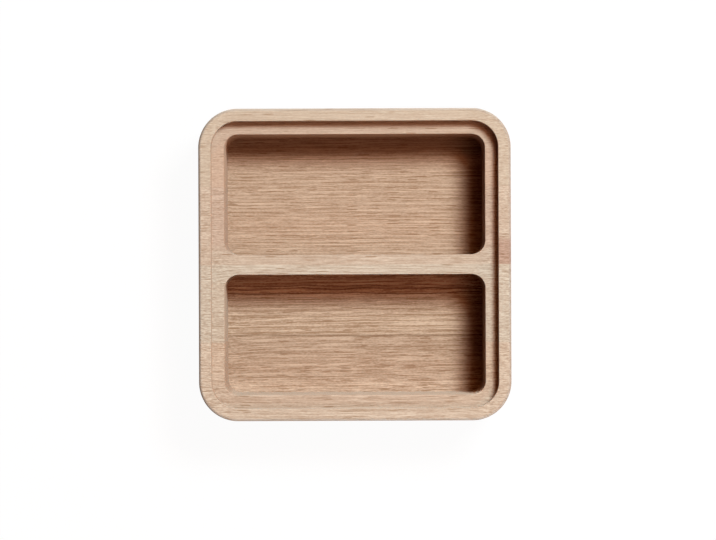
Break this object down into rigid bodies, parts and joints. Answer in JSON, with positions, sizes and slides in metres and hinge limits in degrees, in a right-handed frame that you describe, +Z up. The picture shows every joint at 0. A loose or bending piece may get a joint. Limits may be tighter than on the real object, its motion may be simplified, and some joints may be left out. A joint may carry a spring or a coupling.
{
  "type": "storage box",
  "caption": "Open square storage box in solid oak with rounded corners, wells parted by an integral divider, and a ledge inside the rim that can carry a lid.",
  "frame": {"origin": "centre of the underside, where the box stands", "axes": "+Z up out of the wells, +X along the grain and along the divider, +Y from the front well to the back well"},
  "size_m": [0.12, 0.12, 0.06],
  "materials": {
    "wall_oak": "pale oak, sanded and matt oiled",
    "floor_oak": "slightly browner oak, sanded and matt oiled"
  },
  "bodies": {
    "root": {"back_wall_stave": "wall_oak", "back_divider_stave": "wall_oak", "front_divider_stave": "wall_oak", "front_wall_stave": "wall_oak", "back_floor_stave": "floor_oak", "back_middle_floor_stave": "floor_oak", "front_middle_floor_stave": "floor_oak", "front_floor_stave": "floor_oak"}
  },
  "joints": []
}
